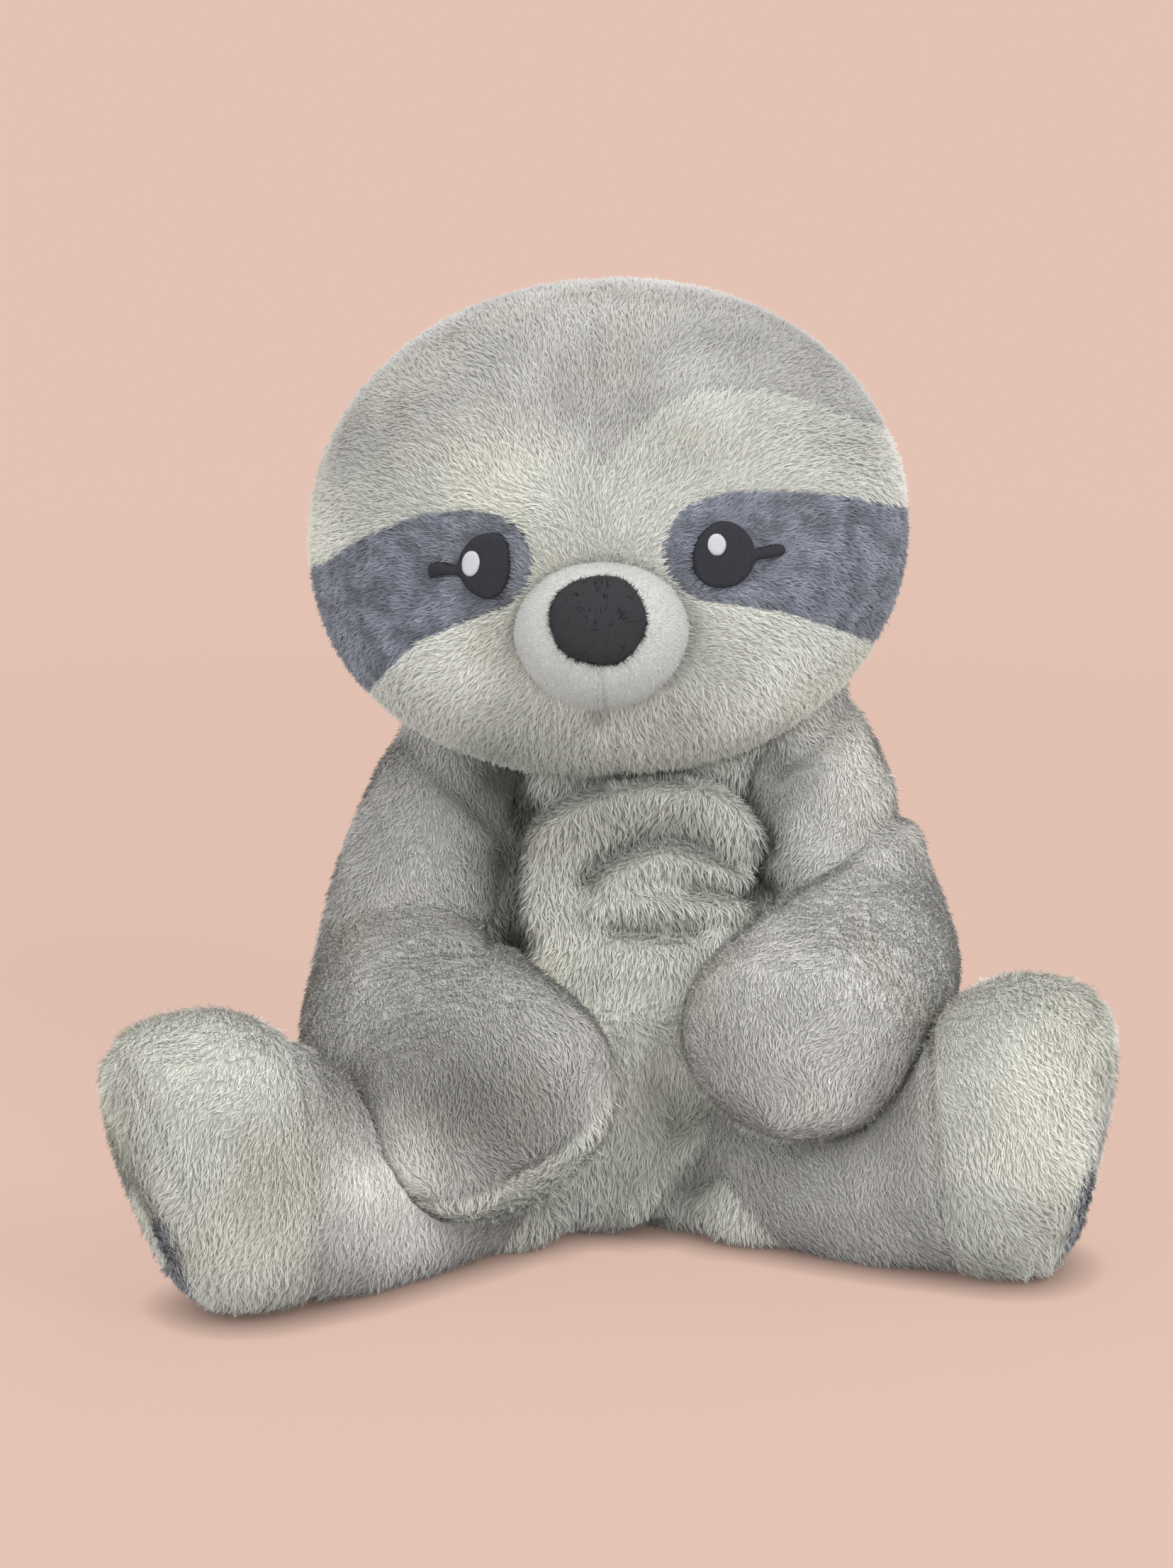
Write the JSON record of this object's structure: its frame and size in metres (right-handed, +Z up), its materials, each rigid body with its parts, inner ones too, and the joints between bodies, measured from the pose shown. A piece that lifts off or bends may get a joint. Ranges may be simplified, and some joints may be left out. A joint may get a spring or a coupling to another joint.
{
  "type": "plush sloth",
  "caption": "Seated plush sloth with a broad domed head, masked eyes, round muzzle and big paws and feet. Its head turns and nods, its arms swing and bend, and its legs splay.",
  "frame": {"origin": "middle of the torso's flat underside, where it sits on the floor", "axes": "+Z up, the face looks along -Y, +X towards the toy's own left"},
  "size_m": [0.3512, 0.2723, 0.3348],
  "materials": {
    "light_plush": "pale grey plush pile",
    "grey_plush": "mid-grey plush pile",
    "patch_plush": "blue-grey plush pile",
    "muzzle_plush": "short smooth pile",
    "nose_velvet": "near-black velvet",
    "eye_felt": "dense dark embroidery",
    "glint_thread": "white satin thread",
    "filling": "loose polyester fibre",
    "bead_pouch": "woven inner cloth"
  },
  "bodies": {
    "torso": {"belly_panel": "light_plush", "back_panel": "grey_plush", "torso_filling": "filling", "seat_bead_pouch": "bead_pouch"},
    "neck": {"neck_filling": "filling"},
    "head": {"face_panel": "light_plush", "head_back_panel": "grey_plush", "head_filling": "filling", "left_eye_patch": "patch_plush", "right_eye_patch": "patch_plush", "left_eye": "eye_felt", "right_eye": "eye_felt", "left_eye_glint": "glint_thread", "right_eye_glint": "glint_thread", "muzzle": "muzzle_plush", "nose": "nose_velvet", "mouth_stitch": "nose_velvet"},
    "left_upper_arm": {"left_upper_arm_cover": "grey_plush", "left_upper_arm_filling": "filling"},
    "left_forearm": {"left_forearm_cover": "grey_plush", "left_palm": "light_plush", "left_forearm_filling": "filling", "left_paw_bead_pouch": "bead_pouch"},
    "left_leg": {"left_leg_cover": "grey_plush", "left_foot_panel": "light_plush", "left_sole": "light_plush", "left_leg_filling": "filling", "left_foot_bead_pouch": "bead_pouch", "left_sole_pad_1": "patch_plush", "left_sole_pad_2": "patch_plush", "left_sole_pad_3": "patch_plush"},
    "right_upper_arm": {"right_upper_arm_cover": "grey_plush", "right_upper_arm_filling": "filling"},
    "right_forearm": {"right_forearm_cover": "grey_plush", "right_palm": "light_plush", "right_forearm_filling": "filling", "right_paw_bead_pouch": "bead_pouch"},
    "right_leg": {"right_leg_cover": "grey_plush", "right_foot_panel": "light_plush", "right_sole": "light_plush", "right_leg_filling": "filling", "right_foot_bead_pouch": "bead_pouch", "right_sole_pad_1": "patch_plush", "right_sole_pad_2": "patch_plush", "right_sole_pad_3": "patch_plush"}
  },
  "joints": [
    {"name": "head_turn", "type": "hinge", "parent": "torso", "child": "neck", "pos_m": [-0.003, -0.006, 0.152], "axis": [0, 0, 1], "range_deg": [-25, 25]},
    {"name": "head_nod", "type": "hinge", "parent": "neck", "child": "head", "pos_m": [-0.003, -0.006, 0.152], "axis": [1, 0, 0], "range_deg": [-8, 6]},
    {"name": "left_shoulder_swing", "type": "hinge", "parent": "torso", "child": "left_upper_arm", "pos_m": [0.066, -0.014, 0.13794], "axis": [-1, 0, 0], "range_deg": [0, 25]},
    {"name": "left_elbow_bend", "type": "hinge", "parent": "left_upper_arm", "child": "left_forearm", "pos_m": [0.08933, -0.04157, 0.0945], "axis": [-1, 0, 0], "range_deg": [0, 20]},
    {"name": "left_hip_splay", "type": "hinge", "parent": "torso", "child": "left_leg", "pos_m": [0.048, -0.054, 0.033], "axis": [0, 0, 1], "range_deg": [0, 15]},
    {"name": "right_shoulder_swing", "type": "hinge", "parent": "torso", "child": "right_upper_arm", "pos_m": [-0.066, -0.014, 0.13399], "axis": [-1, 0, 0], "range_deg": [0, 25]},
    {"name": "right_elbow_bend", "type": "hinge", "parent": "right_upper_arm", "child": "right_forearm", "pos_m": [-0.08002, -0.04007, 0.08586], "axis": [-1, 0, 0], "range_deg": [0, 20]},
    {"name": "right_hip_splay", "type": "hinge", "parent": "torso", "child": "right_leg", "pos_m": [-0.048, -0.054, 0.033], "axis": [0, 0, -1], "range_deg": [0, 15]}
  ]
}
